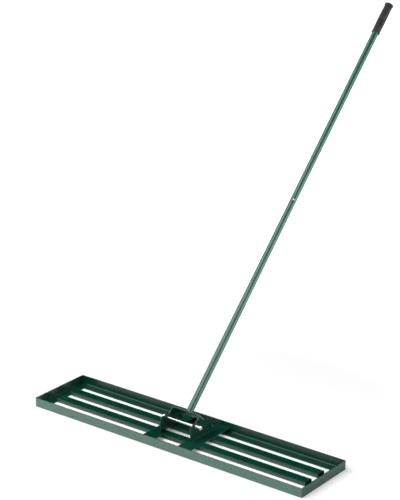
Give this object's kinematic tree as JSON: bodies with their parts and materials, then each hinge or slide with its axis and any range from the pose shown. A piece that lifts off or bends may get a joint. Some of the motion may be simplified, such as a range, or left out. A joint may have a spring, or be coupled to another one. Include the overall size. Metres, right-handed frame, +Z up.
{
  "type": "lawn levelling rake",
  "caption": "Steel drag frame with inner cross bars and a hinged two-piece long handle, for spreading and levelling loose top dressing.",
  "frame": {"origin": "middle of the front bar's underside, on the ground plane", "axes": "+X along the drag frame, +Y from the front bar towards the rear bar, which is the way the handle leans, +Z up"},
  "size_m": [1.219, 1.4631, 1.3877],
  "materials": {
    "green_steel": "semi-gloss powder coat",
    "green_tube": "gloss powder coat",
    "zinc_plated_steel": "bright zinc plate",
    "spring_steel": "bare spring steel",
    "spacer_nylon": "plain",
    "grip_rubber": "matte, moulded pattern"
  },
  "bodies": {
    "head": {"front_angle": "green_steel", "rear_angle": "green_steel", "left_angle": "green_steel", "right_angle": "green_steel", "front_bar": "green_steel", "rear_bar": "green_steel", "left_bracket": "green_steel", "right_bracket": "green_steel", "pivot_bolt": "zinc_plated_steel", "pivot_nut": "zinc_plated_steel", "pivot_collar": "zinc_plated_steel", "pivot_washer_left": "zinc_plated_steel", "pivot_washer_right": "zinc_plated_steel", "pivot_spacer_left": "spacer_nylon", "pivot_spacer_right": "spacer_nylon", "rear_bolt_left": "green_steel", "rear_bolt_right": "green_steel", "rear_nut_left": "green_steel", "rear_nut_right": "green_steel"},
    "handle": {"yoke": "green_steel", "lower_tube": "green_tube", "upper_tube": "green_tube", "grip": "grip_rubber"},
    "button": {"snap_button": "zinc_plated_steel", "button_spring": "spring_steel"}
  },
  "joints": [
    {"name": "handle_pivot", "type": "hinge", "parent": "head", "child": "handle", "pos_m": [0, 0.0145, 0.0695], "axis": [1, 0, 0], "range_deg": [-42, 135]},
    {"name": "button_press", "type": "slide", "parent": "handle", "child": "button", "axis": [-0.5592, 0.5862, -0.5862], "range_m": [0, 0.0043], "stiffness_N_per_m": 1500, "springref_m": -0.001}
  ]
}
